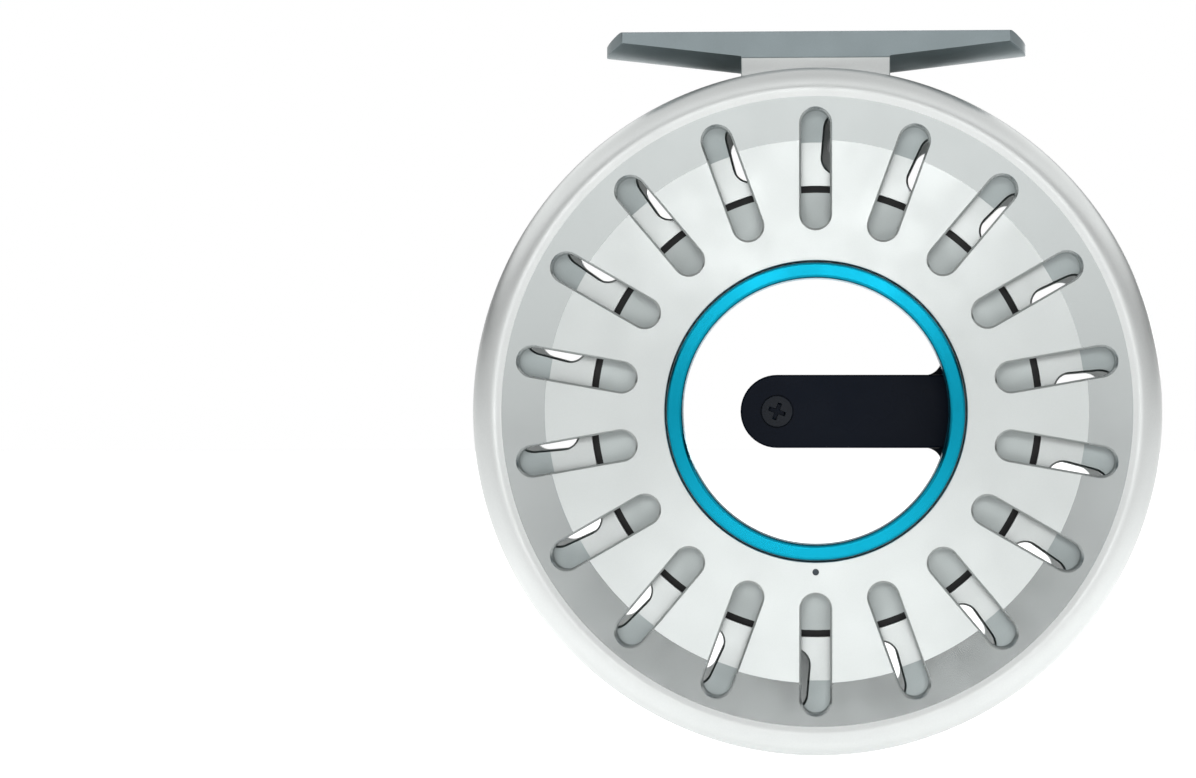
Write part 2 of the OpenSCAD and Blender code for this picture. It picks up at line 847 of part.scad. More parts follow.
module click_pawl() {
    color(steel) on_axis() slab(click_blade[0], click_blade[1]) difference() {
        union() {
            translate(click_pivot) circle(1.5);
            bar(click_pivot, click_nose, 0.8);
            translate(click_nose) circle(0.55);
        }
        translate(click_pivot) circle(small_bore_r);
    }
}

rear_plate();
core_sleeve();
sleeve_screws();
reel_foot();
foot_screws();
dish_cover();
centre_arm();
arm_screw();
slide_keeper();
bearing_inner_races();
bearing_balls();
thrust_ring();
drag_washers();
drag_spring();
retaining_wire();
latch_pin();
latch_spring();
slide_spring();
click_pin();
click_spring();
spool_front_flange();
spool_arbor();
spool_rear_flange();
hub_drum();
bearing_carrier();
bearing_outer_races();
core_seal();
hub_o_rings();
click_ring();
clutch_cage();
clutch_rollers();
counterweight();
counterweight_screw();
handle_spindle();
spindle_screw();
handle_knob();
handle_cap();
handle_bushes();
drag_ring();
drag_tube();
pressure_ring();
drag_rotor();
thumb_slide();
slide_link();
latch_lever();
click_pawl();
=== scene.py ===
"""Fly reel with an open centre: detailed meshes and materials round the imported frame.

Lengths in the shape functions are millimetres and become metres in the meshes. A place on the
spin axis is a depth in millimetres behind the dish cover's front edge, as in the CAD model.
"""

import json
import math

import bmesh
import bpy
from mathutils import Matrix, Vector


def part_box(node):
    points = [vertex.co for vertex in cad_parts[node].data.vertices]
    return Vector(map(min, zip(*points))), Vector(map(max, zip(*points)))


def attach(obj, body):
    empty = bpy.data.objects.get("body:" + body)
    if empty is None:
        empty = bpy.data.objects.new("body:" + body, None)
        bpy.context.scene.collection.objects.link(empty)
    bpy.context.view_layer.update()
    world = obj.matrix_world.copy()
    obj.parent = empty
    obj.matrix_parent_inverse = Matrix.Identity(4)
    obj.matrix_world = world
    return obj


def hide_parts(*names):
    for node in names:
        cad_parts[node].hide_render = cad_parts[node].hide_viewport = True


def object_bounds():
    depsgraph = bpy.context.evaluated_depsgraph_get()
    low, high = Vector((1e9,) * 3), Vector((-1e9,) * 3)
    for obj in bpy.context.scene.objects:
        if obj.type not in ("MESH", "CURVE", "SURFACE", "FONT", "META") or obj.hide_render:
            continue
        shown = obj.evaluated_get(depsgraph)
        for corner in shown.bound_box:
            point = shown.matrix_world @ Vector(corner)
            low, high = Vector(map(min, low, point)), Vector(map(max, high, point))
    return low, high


MM = 0.001
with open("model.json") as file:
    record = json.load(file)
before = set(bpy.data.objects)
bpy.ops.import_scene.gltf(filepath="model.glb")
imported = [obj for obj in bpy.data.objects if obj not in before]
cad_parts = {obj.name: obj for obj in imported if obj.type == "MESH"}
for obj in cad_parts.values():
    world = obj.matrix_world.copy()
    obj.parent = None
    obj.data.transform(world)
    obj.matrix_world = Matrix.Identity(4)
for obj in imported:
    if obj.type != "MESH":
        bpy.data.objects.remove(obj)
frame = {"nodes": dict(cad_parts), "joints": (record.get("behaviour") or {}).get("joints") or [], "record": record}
cad_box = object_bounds()


# ---- Places and sizes taken from the frame -------------------------------------------------

def joint(name):
    return next(j for j in frame["joints"] if j["name"] == name)


AXIS_Z = joint("spool_spin")["pos_m"][2]
FRONT_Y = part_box("dish_cover")[0][1]


def depth_of(y):
    """Depth, in millimetres, of a place along Y."""
    return (y - FRONT_Y) / MM


def radius_of(node):
    """Outer radius, in millimetres, of a round node about the spin axis."""
    low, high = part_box(node)
    return (high[0] - low[0]) / 2 / MM


REEL_R = radius_of("rear_plate")
SPOOL_R = radius_of("spool_front_flange")
DISH_R = radius_of("dish_cover")
SLEEVE_R = radius_of("centre_arm")
TUBE_R = radius_of("drag_tube")
DRAG_RING_R = radius_of("drag_ring")
ARBOR_R = radius_of("spool_arbor")
REAR_FLANGE_R = radius_of("spool_rear_flange")
PLATE_BACK = depth_of(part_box("rear_plate")[1][1])
RIM_LIP = depth_of(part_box("spool_rear_flange")[0][1]) - 0.5
SPOOL_FRONT = depth_of(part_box("spool_front_flange")[0][1])
SPOOL_LIP = depth_of(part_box("spool_front_flange")[1][1])
DRAG_RING_DEPTHS = [depth_of(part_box("drag_ring")[i][1]) for i in (0, 1)]
TUBE_FRONT = depth_of(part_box("drag_tube")[0][1])
ARM_DEPTHS = [depth_of(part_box("centre_arm")[i][1]) for i in (0, 1)]
KNOB_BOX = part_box("handle_knob")
WEIGHT_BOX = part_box("counterweight")
FOOT_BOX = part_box("reel_foot")

CENTRE_R = TUBE_R - 0.9
PLATE_FACE = PLATE_BACK - 1.3
PLATE_INNER = PLATE_FACE - 3.2
CREASE_R = 40.0
FOOT_ROOT_T = 3.9
PEDESTAL_HALF = 11.15
RAIL_W = 0.5
CHAMFER = 0.3
SPOOL_TURN = 5.0
SLOT_COUNT = 18
REAR_SLOT = (27.1, 44.8, 4.3)
SPOOL_FRONT_SLOT = (35.7, 44.5, 4.6)
SPOOL_REAR_SLOT = (36, 45, 4.6)
HANDLE_AND_WEIGHT = (0, 9)  # places in the spool's front circle that have no slot
SHARP_DEGREES = 32
MERGE_DISTANCE = 1e-7  # metres
TURNED_STEPS = 288  # faces round a turned piece


# ---- Mesh helpers --------------------------------------------------------------------------

def on_axis(r, angle, depth):
    """Place in metres at a radius, an angle from +X towards +Z, and a depth."""
    x, z = r * math.cos(angle), r * math.sin(angle)
    return Vector((x * MM, FRONT_Y + depth * MM, AXIS_Z + z * MM))


def arc(cx, cy, r, start, end, steps):
    """Points on a circular arc, with its angles in degrees."""
    turn = [math.radians(start + (end - start) * i / steps) for i in range(steps + 1)]
    return [(cx + r * math.cos(t), cy + r * math.sin(t)) for t in turn]


def circle_points(r, steps, x=0.0, y=0.0):
    """Points on a whole circle."""
    turn = [2 * math.pi * i / steps for i in range(steps)]
    return [(x + r * math.cos(t), y + r * math.sin(t)) for t in turn]


def rectangle(x1, x2, y1, y2):
    return [(x1, y1), (x2, y1), (x2, y2), (x1, y2)]


def rounded(corners, steps=4):
    """Closed outline from (x, y, radius) corners, each rounded by its radius."""
    points = []
    count = len(corners)
    for i, (x, y, r) in enumerate(corners):
        here = Vector((x, y))
        before = Vector(corners[i - 1][:2]) - here
        after = Vector(corners[(i + 1) % count][:2]) - here
        if r <= 0:
            points.append((x, y))
            continue
        u, v = before.normalized(), after.normalized()
        half = math.acos(max(-1, min(1, u.dot(v)))) / 2
        reach = min(r / math.tan(half), before.length * 0.49, after.length * 0.49)
        radius = reach * math.tan(half)
        centre = here + (u + v).normalized() * radius / math.sin(half)
        start = here + u * reach - centre
        end = here + v * reach - centre
        sweep = start.angle_signed(end)
        for k in range(steps + 1):
            p = start.copy()
            p.rotate(Matrix.Rotation(-sweep * k / steps, 2))
            points.append(tuple(centre + p))
    return points


def make(name, verts, faces, material, body, replaced=(), slot=None):
    """A finished object from vertices in metres, riding on a body."""
    settle(bare_object(name, verts, faces), material, body, replaced)


def tidy(obj):
    """Merges doubled vertices and turns every face outwards."""
    bm = bmesh.new()
    bm.from_mesh(obj.data)
    bmesh.ops.remove_doubles(bm, verts=bm.verts, dist=MERGE_DISTANCE)
    bmesh.ops.recalc_face_normals(bm, faces=bm.faces)
    bm.to_mesh(obj.data)
    bm.free()


def settle(obj, material, body, replaced=()):
    """Gives a piece its shading, material and body."""
    obj.data.materials.clear()
    obj.data.materials.append(material)
    obj.data.shade_smooth()
    obj.data.set_sharp_from_angle(angle=math.radians(SHARP_DEGREES))
    weighted = obj.modifiers.new("weighted_normals", "WEIGHTED_NORMAL")
    weighted.keep_sharp = True
    weighted.weight = 100
    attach(obj, body)
    if replaced:
        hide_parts(*replaced)


def revolve(outline, segments=TURNED_STEPS):
    """Vertices and faces of a closed (radius, depth) outline turned about the spin axis."""
    count = len(outline)
    verts = [on_axis(r, 2 * math.pi * s / segments, d)
             for s in range(segments) for r, d in outline]
    faces = []
    for s in range(segments):
        a, b = s * count, (s + 1) % segments * count
        for i in range(count):
            j = (i + 1) % count
            faces.append((a + i, a + j, b + j, b + i))
    return verts, faces


def loft(rings):
    """Vertices and faces of a solid through closed rings with equal numbers of points."""
    count = len(rings[0])
    verts = [p for ring in rings for p in ring]
    faces = [tuple(range(count)), tuple(range(len(verts) - count, len(verts)))]
    for k in range(len(rings) - 1):
        a, b = k * count, (k + 1) * count
        for i in range(count):
            j = (i + 1) % count
            faces.append((a + i, a + j, b + j, b + i))
    return verts, faces


def join(parts):
    """One list of vertices and faces from several."""
    verts, faces = [], []
    for v, f in parts:
        base = len(verts)
        verts += v
        faces += [tuple(base + i for i in face) for face in f]
    return verts, faces


def bare_object(name, verts, faces):
    mesh = bpy.data.meshes.new(name)
    mesh.from_pydata([tuple(v) for v in verts], [], faces)
    obj = bpy.data.objects.new(name, mesh)
    bpy.context.collection.objects.link(obj)
    tidy(obj)
    return obj


def combine(obj, other, operation):
    """Applies an exact boolean with another object, which is then removed."""
    modifier = obj.modifiers.new("combine", "BOOLEAN")
    modifier.operation = operation
    modifier.solver = "EXACT"
    modifier.object = other
    evaluated = obj.evaluated_get(bpy.context.evaluated_depsgraph_get())
    result = bpy.data.meshes.new_from_object(evaluated)
    obj.modifiers.clear()
    obj.data = result
    bpy.data.objects.remove(other)


def bevel_edges(obj, width, segments=3, above=35):
    """Rounds the edges sharper than an angle in degrees."""
    bm = bmesh.new()
    bm.from_mesh(obj.data)
    bmesh.ops.remove_doubles(bm, verts=bm.verts, dist=MERGE_DISTANCE)
    limit = math.radians(above)
    sharp = [e for e in bm.edges if len(e.link_faces) == 2 and e.calc_face_angle(0) > limit]
    bmesh.ops.bevel(bm, geom=sharp, offset=width * MM, offset_type="OFFSET", segments=segments,
                    profile=0.5, affect="EDGES", clamp_overlap=True)
    bm.to_mesh(obj.data)
    bm.free()


def stadium(x1, x2, half, grow=0.0, steps=14):
    """Outline of a stadium along x, grown outwards by a distance."""
    r = half + grow
    left, right, sides = x1 + half, x2 - half, 18
    along = [left + (right - left) * i / sides for i in range(1, sides)]
    return (arc(right, 0, r, -90, 90, steps) + [(x, r) for x in reversed(along)]
            + arc(left, 0, r, 90, 270, steps) + [(x, -r) for x in along])


def slot_cutters(first, slot, surface, outwards, far, skip=()):
    """Cutters for radial slots whose edges are chamfered along a turned surface.

    first is the first slot's angle in degrees, slot its (inner end, outer end, width),
    surface(r) the surface's depth, outwards +1 or -1 along the depth, and far the depth
    where the slot comes out on the other side.
    """
    inner, outer, width = slot
    spare, above = 0.4, 4
    parts = []
    for k in range(SLOT_COUNT):
        if k in skip:
            continue
        turn = math.radians(first + 360 / SLOT_COUNT * k)
        rings = []
        for grow, lift in ((0, None), (0, -CHAMFER), (CHAMFER + spare, spare),
                           (CHAMFER + spare, above)):
            ring = []
            for x, y in stadium(inner, outer, width / 2, grow):
                r = math.hypot(x, y)
                depth = far if lift is None else surface(r) + outwards * lift
                ring.append(on_axis(r, turn + math.atan2(y, x), depth))
            rings.append(ring)
        parts.append(loft(rings))
    return join(parts)


# ---- Materials -----------------------------------------------------------------------------

CLOUD_SCALE = 160.0  # cells per metre
QUARTER_TURN = 0.25


def new_material(name, colour, metallic, roughness, **sockets):
    """A material with its shader's own sockets set, and handles to its nodes."""
    material = bpy.data.materials.new(name)
    material.use_nodes = True
    nodes, links = material.node_tree.nodes, material.node_tree.links
    shader = nodes["Principled BSDF"]
    shader.inputs["Base Color"].default_value = (*colour, 1)
    shader.inputs["Metallic"].default_value = metallic
    shader.inputs["Roughness"].default_value = roughness
    for socket, value in sockets.items():
        shader.inputs[socket.replace("_", " ")].default_value = value
    return material, nodes, links, shader


def noise(nodes, links, coordinates, scale, detail=3.0):
    """Noise texture over object coordinates, with its scale in cells per metre."""
    texture = nodes.new("ShaderNodeTexNoise")
    texture.inputs["Scale"].default_value = scale
    texture.inputs["Detail"].default_value = detail
    links.new(coordinates.outputs["Object"], texture.inputs["Vector"])
    return texture


def ramp_between(nodes, links, factor, low, high):
    """Maps a 0 to 1 factor on to a range of values."""
    span = nodes.new("ShaderNodeMapRange")
    span.inputs["From Min"].default_value = 0.3
    span.inputs["From Max"].default_value = 0.7
    span.inputs["To Min"].default_value = low
    span.inputs["To Max"].default_value = high
    links.new(factor, span.inputs["Value"])
    return span.outputs["Result"]


def finish_metal(name, colour, roughness, spread, grain, grain_height, tint=0.04, turned=0.0,
                 metallic=1.0, **sockets):
    """Surface with a fine grain, cloudy roughness and faint colour changes.

    The roughness varies by spread. The grain is in cells per metre and its height in metres.
    turned is the strength of the round sheen that a lathe leaves.
    """
    material, nodes, links, shader = new_material(name, colour, metallic, roughness, **sockets)
    coordinates = nodes.new("ShaderNodeTexCoord")
    cloud = noise(nodes, links, coordinates, CLOUD_SCALE, 2.0)
    speck = noise(nodes, links, coordinates, grain, 2.0)
    cloudy = ramp_between(nodes, links, cloud.outputs["Fac"], roughness - spread,
                          roughness + spread)
    links.new(cloudy, shader.inputs["Roughness"])
    mix = nodes.new("ShaderNodeMix")
    mix.data_type = "RGBA"
    mix.inputs["A"].default_value = (*[c * (1 - tint) for c in colour], 1)
    mix.inputs["B"].default_value = (*[min(1, c * (1 + tint)) for c in colour], 1)
    links.new(speck.outputs["Fac"], mix.inputs["Factor"])
    links.new(mix.outputs["Result"], shader.inputs["Base Color"])
    bump = nodes.new("ShaderNodeBump")
    bump.inputs["Strength"].default_value = 1.0
    bump.inputs["Distance"].default_value = grain_height
    links.new(speck.outputs["Fac"], bump.inputs["Height"])
    links.new(bump.outputs["Normal"], shader.inputs["Normal"])
    if turned:
        tangent = nodes.new("ShaderNodeTangent")
        tangent.direction_type = "RADIAL"
        tangent.axis = "Y"
        links.new(tangent.outputs["Tangent"], shader.inputs["Tangent"])
        shader.inputs["Anisotropic"].default_value = turned
        shader.inputs["Anisotropic Rotation"].default_value = QUARTER_TURN
    return material


SILVER = finish_metal("blasted_silver", (0.41, 0.43, 0.425), 0.30, 0.02, 5200.0, 3e-6, turned=0.85)
# Darker, smoother copy of the blasted silver for the rear plate's sloped ring: painted shade.
SILVER_SLOPE_SHADE = finish_metal("blasted_silver_slope_painted_shade", (0.36, 0.38, 0.377), 0.23, 0.02, 5200.0, 2e-6)
# Darker copy of the blasted silver for the spool's front cone: painted shade.
SILVER_CONE_SHADE = finish_metal("blasted_silver_cone_painted_shade", (0.36, 0.385, 0.38), 0.34, 0.03, 5200.0, 4e-6)
# Lighter copy of the blasted silver for the rear plate's rim and the spool's outer face: painted light.
SILVER_RIM_LIT = finish_metal("blasted_silver_rim_painted_light", (0.52, 0.535, 0.53), 0.40, 0.03, 4200.0, 7e-6)
SILVER_HUB = finish_metal("blasted_silver_hub", (0.48, 0.52, 0.515), 0.42, 0.03, 5200.0, 4e-6)
# Darker copy of the blasted silver for the spool arbor and the rear flange's outer slope, seen through the slots:
# painted shade.
SILVER_INNER_SHADE = finish_metal("blasted_silver_inner_painted_shade", (0.27, 0.30, 0.30), 0.32, 0.03, 5200.0, 4e-6)
# Darker copy of the blasted silver for the pedestal under the foot: painted shade.
SILVER_PEDESTAL_SHADE = finish_metal("blasted_silver_pedestal_painted_shade", (0.25, 0.28, 0.28), 0.42, 0.03, 4200.0,
                               7e-6)
# Darkest copy of the blasted silver, for the foot's downward faces: painted shade under the foot.
SILVER_UNDERSIDE_SHADE = finish_metal("blasted_silver_under_painted_shade", (0.17, 0.21, 0.22), 0.42, 0.03, 4200.0,
                                7e-6)
# Darker copy of the blasted silver for the foot: painted shade.
SILVER_FOOT_SHADE = finish_metal("blasted_silver_foot_painted_shade", (0.20, 0.235, 0.245), 0.42, 0.03, 4200.0, 7e-6)
BLACK = finish_metal("black_anodised", (0.0040, 0.0068, 0.0140), 0.28, 0.03, 6000.0, 1e-6,
                     tint=0.12, metallic=0.0, Specular_IOR_Level=0.04)
# Darker, mirror-like copy of the black anodising, with a faint blue edge tint, for the bore walls: painted shade
# in the bore.
BLACK_BORE_SHADE = finish_metal("black_anodised_bore_painted_shade", (0.010, 0.014, 0.026), 0.20, 0.03, 6000.0, 1e-6,
                          tint=0.12, Specular_Tint=(0.06, 0.07, 0.10, 1))
CYAN = finish_metal("cyan_anodised", (0.003, 0.195, 0.285), 0.22, 0.02, 7000.0, 1e-6, tint=0.05,
                    turned=0.85)
CHROME = finish_metal("polished_weight", (0.66, 0.64, 0.62), 0.07, 0.02, 900.0, 1e-6, tint=0.01)
KNOB = finish_metal("black_knob", (0.008, 0.009, 0.011), 0.22, 0.03, 3000.0, 1e-6, tint=0.2,
                    metallic=0.0, Coat_Weight=0.15, Coat_Roughness=0.1,
                    Specular_IOR_Level=0.3)
STEEL = finish_metal("steel", (0.56, 0.57, 0.58), 0.28, 0.04, 2500.0, 2e-6)
BLACK_SCREW = finish_metal("black_screw", (0.006, 0.009, 0.015), 0.38, 0.04, 4000.0, 2e-6,
                           tint=0.15, metallic=0.0, Specular_IOR_Level=0.15)
BRONZE = finish_metal("bronze", (0.50, 0.36, 0.18), 0.4, 0.05, 3000.0, 4e-6)
FRICTION = finish_metal("friction_disc", (0.03, 0.031, 0.034), 0.6, 0.06, 1800.0, 1e-5, tint=0.3,
                        metallic=0.0)
RUBBER = finish_metal("seal_rubber", (0.006, 0.006, 0.007), 0.5, 0.05, 2500.0, 4e-6, tint=0.2,
                      metallic=0.0)
DARK_MARK = finish_metal("dark_mark", (0.02, 0.03, 0.04), 0.5, 0.05, 4000.0, 2e-6, metallic=0.0)

SLOT_MATERIALS = {
    "blasted_silver": SILVER, "black_anodised": BLACK, "cyan_anodised": CYAN,
    "polished_weight": CHROME, "black_knob": KNOB, "steel": STEEL, "black_screw": BLACK_SCREW,
    "bronze": BRONZE, "friction_disc": FRICTION, "seal_rubber": RUBBER,
}

# The hub drum gets its own silver; the spool arbor and drag tube get darker copies: painted shade.
NODE_FINISHES_AND_SHADE = {"hub_drum": SILVER_HUB, "spool_arbor": SILVER_INNER_SHADE, "drag_tube": BLACK_BORE_SHADE}


def dress_cad_nodes():
    """Gives every CAD node the material of its record slot, but the hub drum its own silver and the spool arbor
    and drag tube darker copies as painted shade.
    """
    for part in frame["record"]["subparts"]:
        obj = frame["nodes"][part["node"]]
        obj.data.materials.clear()
        material = SLOT_MATERIALS[part["material_slot"]]
        obj.data.materials.append(NODE_FINISHES_AND_SHADE.get(part["node"], material))


# ---- Frame pieces --------------------------------------------------------------------------

RIM_SECTION_R = 4.6
RIM_CENTRE = (REEL_R - RIM_SECTION_R, PLATE_BACK - RIM_SECTION_R)
CROWN_CENTRE = (REEL_R - 3.4, PLATE_BACK - 4.3)
CROWN_AXES = (3.4, 4.3)
SLOPE_RISE = 0.1706
SLOPE_END_R = 46.6
RIM_INNER_R = 48.8
DOT_PLACE_R = 23.8
DOT_R = 0.5
DOT_DEPTH = 0.25


def rear_surface(r):
    """Depth of the rear plate's outer face at a radius."""
    return PLATE_FACE + max(0.0, r - CREASE_R) * SLOPE_RISE


def rear_plate_outline():
    crown = [(CROWN_CENTRE[0] + CROWN_AXES[0] * x, CROWN_CENTRE[1] + CROWN_AXES[1] * y)
             for x, y in arc(0, 0, 1, 101, 0, 30)]
    crown.append((REEL_R, PLATE_BACK - 5.2))
    bore = TUBE_R + 0.1
    edge = 0.2
    return (
        [(bore, PLATE_INNER)]
        + arc(bore + edge, PLATE_FACE - edge, edge, 180, 90, 4)
        + [(r, rear_surface(r)) for r in (26, 30, 35, 39.6, 39.85)]
        + [(CREASE_R, PLATE_FACE + 0.008), (40.2, rear_surface(40.2) + 0.004)]
        + [(r, rear_surface(r)) for r in (40.5, 42, 44, 45.5, SLOPE_END_R)]
        + crown
        + [(REEL_R - 1.68, RIM_LIP + 0.35), (REEL_R - 1.85, RIM_LIP + 0.08),
           (REEL_R - 2.05, RIM_LIP), (RIM_INNER_R + 0.1, RIM_LIP), (RIM_INNER_R, RIM_LIP + 0.12),
           (RIM_INNER_R, PLATE_INNER - 1.2)]
        + arc(RIM_INNER_R - 1.0, PLATE_INNER - 1.0, 1.0, 0, 90, 6)
    )


def pedestal():
    """Block under the foot, hollowed round the spool."""
    low, high = FOOT_BOX
    under_r = 49.2 * MM
    top = -FOOT_ROOT_T * MM
    steps = 24
    half = PEDESTAL_HALF * MM
    xs = [half - 2 * half * i / steps for i in range(steps + 1)]
    hollow = [(x, AXIS_Z + math.sqrt(under_r ** 2 - x * x)) for x in xs]
    profile = [(-half, top), (half, top)] + hollow
    rings = [[Vector((x, y, z)) for x, z in profile] for y in (low[1], high[1])]
    block = bare_object("pedestal_block", *loft(rings))
    bevel_edges(block, 0.12, 2)
    return block


def dot_ring(r, depth):
    """Circle of the index dot, under the centre of the rear plate."""
    centre = on_axis(DOT_PLACE_R, -math.pi / 2, depth)
    return [centre + Vector((x, 0, z)) for x, z in circle_points(r * MM, 24)]


def rear_plate():
    """Rear plate with its rim, slots, index pit and the pedestal for the foot."""
    plate = bare_object("rear_plate_detail", *revolve(rear_plate_outline()))
    cutters = bare_object("rear_cutters", *slot_cutters(
        90, REAR_SLOT, rear_surface, 1, PLATE_INNER - 1))
    combine(plate, cutters, "DIFFERENCE")
    dot = bare_object("dot_cutter", *loft([
        dot_ring(DOT_R, depth) for depth in (PLATE_FACE - DOT_DEPTH, PLATE_FACE + 1)]))
    combine(plate, dot, "DIFFERENCE")
    combine(plate, pedestal(), "UNION")
    settle(plate, SILVER, "frame", ["rear_plate"])
    slope_start = CREASE_R + 0.1
    # Slope and pedestal get darker copies of the silver and the rim a lighter one: painted shade and painted
    # light.
    painted_tone_by_radius(plate, [(0, SILVER), (slope_start, SILVER_SLOPE_SHADE), (SLOPE_END_R, SILVER_RIM_LIT),
                             (REEL_R + 0.05, SILVER_PEDESTAL_SHADE)])
    turned_normals(plate, [(22, slope_start, 0), (slope_start, SLOPE_END_R, SLOPE_RISE)], 1)


def painted_tone_by_radius(obj, painted_tones):
    """Gives the faces of a turned piece (from radius, material) bands in rising radius: copies of one metal,
    lighter or darker as painted light and shade.
    """
    obj.data.materials.clear()
    for _, material in painted_tones:
        obj.data.materials.append(material)
    for face in obj.data.polygons:
        r = math.hypot(face.center.x, face.center.z - AXIS_Z) / MM
        face.material_index = max(i for i, (start, _) in enumerate(painted_tones) if r >= start)


SAME_WAY = 0.985  # least cosine between a face and the cone that it belongs to


def turned_normals(obj, cones, side):
    """Exact normals on turned faces cut by slots: (from r, to r, rise) cones, side +1 or -1."""
    mesh = obj.data
    normals = [tuple(n.vector) for n in mesh.corner_normals]
    for face in mesh.polygons:
        r = math.hypot(face.center.x, face.center.z - AXIS_Z) / MM
        for start, end, rise in cones:
            if not start <= r <= end:
                continue
            for corner in face.loop_indices:
                place = mesh.vertices[mesh.loops[corner].vertex_index].co
                out = Vector((place.x, 0, place.z - AXIS_Z)).normalized()
                exact = (Vector((0, side, 0)) - out * rise * side).normalized()
                if exact.dot(face.normal) > SAME_WAY:
                    normals[corner] = tuple(exact)
    mesh.normals_split_custom_set(normals)
    obj.modifiers.clear()


def index_dot():
    """Dark paint in the small pit that the drag ring's mark is read against."""
    paint_t = 0.04
    ring = dot_ring(DOT_R - 0.01, PLATE_FACE - DOT_DEPTH + 0.05)
    back = [p - Vector((0, paint_t * MM, 0)) for p in ring]
    make("index_dot_paint", *loft([back, ring]), DARK_MARK, "frame", slot="black_anodised")


FOOT_HALF_LENGTH = FOOT_BOX[1][0] / MM
FOOT_HALF_WIDTH = (FOOT_BOX[1][1] - FOOT_BOX[0][1]) / 2 / MM
FOOT_END_R = 11.2
FOOT_TIP_T = 1.5
SADDLE_R = 14.3
SADDLE_HALF = FOOT_HALF_WIDTH - RAIL_W
SADDLE_SAG = SADDLE_R - math.sqrt(SADDLE_R ** 2 - SADDLE_HALF ** 2)


def foot_half_width(x):
    over = abs(x) - (FOOT_HALF_LENGTH - FOOT_END_R)
    if over <= 0:
        return FOOT_HALF_WIDTH
    return min(FOOT_HALF_WIDTH, math.sqrt(max(FOOT_END_R ** 2 - over ** 2, 0.0)))


def foot_top(y):
    if abs(y) >= SADDLE_HALF:
        return 0.0
    return -max(0.0, math.sqrt(SADDLE_R ** 2 - y * y) - (SADDLE_R - SADDLE_SAG))


def foot_bottom(x, y):
    if abs(x) < PEDESTAL_HALF:
        return -FOOT_ROOT_T
    run = (FOOT_HALF_LENGTH - abs(x)) / (FOOT_HALF_LENGTH - PEDESTAL_HALF)
    thickness = FOOT_TIP_T + (FOOT_ROOT_T - FOOT_TIP_T) * min(1.0, run)
    under_r = SADDLE_R + SADDLE_SAG / 4
    return -thickness - SADDLE_SAG + under_r - math.sqrt(under_r ** 2 - y * y)


def foot_section(x, steps=16):
    """Closed (y, z) section of the foot at a place along it."""
    w = foot_half_width(x)
    flat = min(w, SADDLE_HALF)
    across = [-flat + 2 * flat * i / steps for i in range(steps + 1)]
    back = [w - 2 * w * i / steps for i in range(steps + 1)]
    return ([(-w, foot_top(w))] + [(y, foot_top(y)) for y in across] + [(w, foot_top(w))]
            + [(y, foot_bottom(x, y)) for y in back])


def reel_foot():
    """Saddle foot: round above and below, thinning towards rounded ends."""
    middle_y = (FOOT_BOX[0][1] + FOOT_BOX[1][1]) / 2
    inner = [0, 4, 8, PEDESTAL_HALF - 0.001]
    outer = [PEDESTAL_HALF + (29.0 - PEDESTAL_HALF) * i / 10 for i in range(11)]
    outer[0] += 0.001
    ends = [29.3, 29.8, 30.3, 30.7, 31.0, 31.3, 31.5, 31.62, FOOT_HALF_LENGTH - 0.01]
    positive = inner + outer + ends
    stations = [-x for x in reversed(positive[1:])] + positive
    rings = [[Vector((x * MM, middle_y + y * MM, z * MM)) for y, z in foot_section(x)]
             for x in stations]
    foot = bare_object("reel_foot_detail", *loft(rings))
    bevel_edges(foot, 0.16, 3, above=33)
    # The foot gets a darker copy of the silver: painted shade.
    settle(foot, SILVER_FOOT_SHADE, "frame", ["reel_foot"])
    # Downward faces get the darker underside copy: painted shade under the foot.
    foot.data.materials.append(SILVER_UNDERSIDE_SHADE)
    for face in foot.data.polygons:
        face.material_index = 1 if face.normal.z < -0.5 else 0


LATCH_PIVOT = (-29.3, 4.2)
CLICK_PIVOT = (19.8, 19.8)
PIN_HOLE_R = 0.62
# Bosses as (pivot, radius, start, end), and pockets as (outline, start, end)
DISH_BOSSES = [(LATCH_PIVOT, 1.9, 4.6, 8.35), (CLICK_PIVOT, 1.6, 7.0, 10.35)]
DISH_POCKETS = [(rectangle(-28.2, -24.4, 0.3, 3.9), 8.2, 13.1),
                (rectangle(-36, -31, -5.3, -1.8), 8.2, 9.7),
                (rectangle(-27, -23, -1.35, 1.35), 10.98, 13.1)]


def dish_cover():
    """Black cone on the front of the core, with its skirt and collar."""
    lip_r, lip_depth = 23.5, 7.5
    outline = rounded([
        (DISH_R, 0, 0.25), (lip_r, lip_depth, 0.3), (lip_r, ARM_DEPTHS[0], 0.02),
        (SLEEVE_R + 0.05, ARM_DEPTHS[0], 0), (SLEEVE_R + 0.05, 13, 0), (25.4, 13, 0),
        (25.4, 9.3, 0.3), (31.8, 3.6, 0.3), (31.8, 9.8, 0), (DISH_R, 9.8, 0)])
    dish = bare_object("dish_cover_detail", *revolve(outline))
    for pivot, r, start, end in DISH_BOSSES:
        boss = prism(circle_points(r, 40, *pivot), start, end)
        hole = prism(circle_points(PIN_HOLE_R, 40, *pivot), 6.0, 12)
        combine(dish, bare_object("boss", *boss), "UNION")
        combine(dish, bare_object("pin_hole", *hole), "DIFFERENCE")
    for outline, start, end in DISH_POCKETS:
        combine(dish, bare_object("pocket", *prism(outline, start, end)), "DIFFERENCE")
    settle(dish, BLACK, "frame", ["dish_cover"])


ARM_SCREW_X = 5.9
RECESS_ENDS = (-18.7, 9.1)
RECESS_HALF = 3.2
RECESS_FLOOR = 12
SLIDE_FLOOR = 11
SLIDE_ENDS = (-14.2, 8.3)
SLIDE_HALF = 3.1
PAD_LEFT = -4.2
PAD_RECESS_LEFT = -8.5


def half_stadium(left, right, half):
    """Outline with a square left end and a round right end."""
    return [(left, -half)] + arc(right - half, 0, half, -90, 90, 20) + [(left, half)]


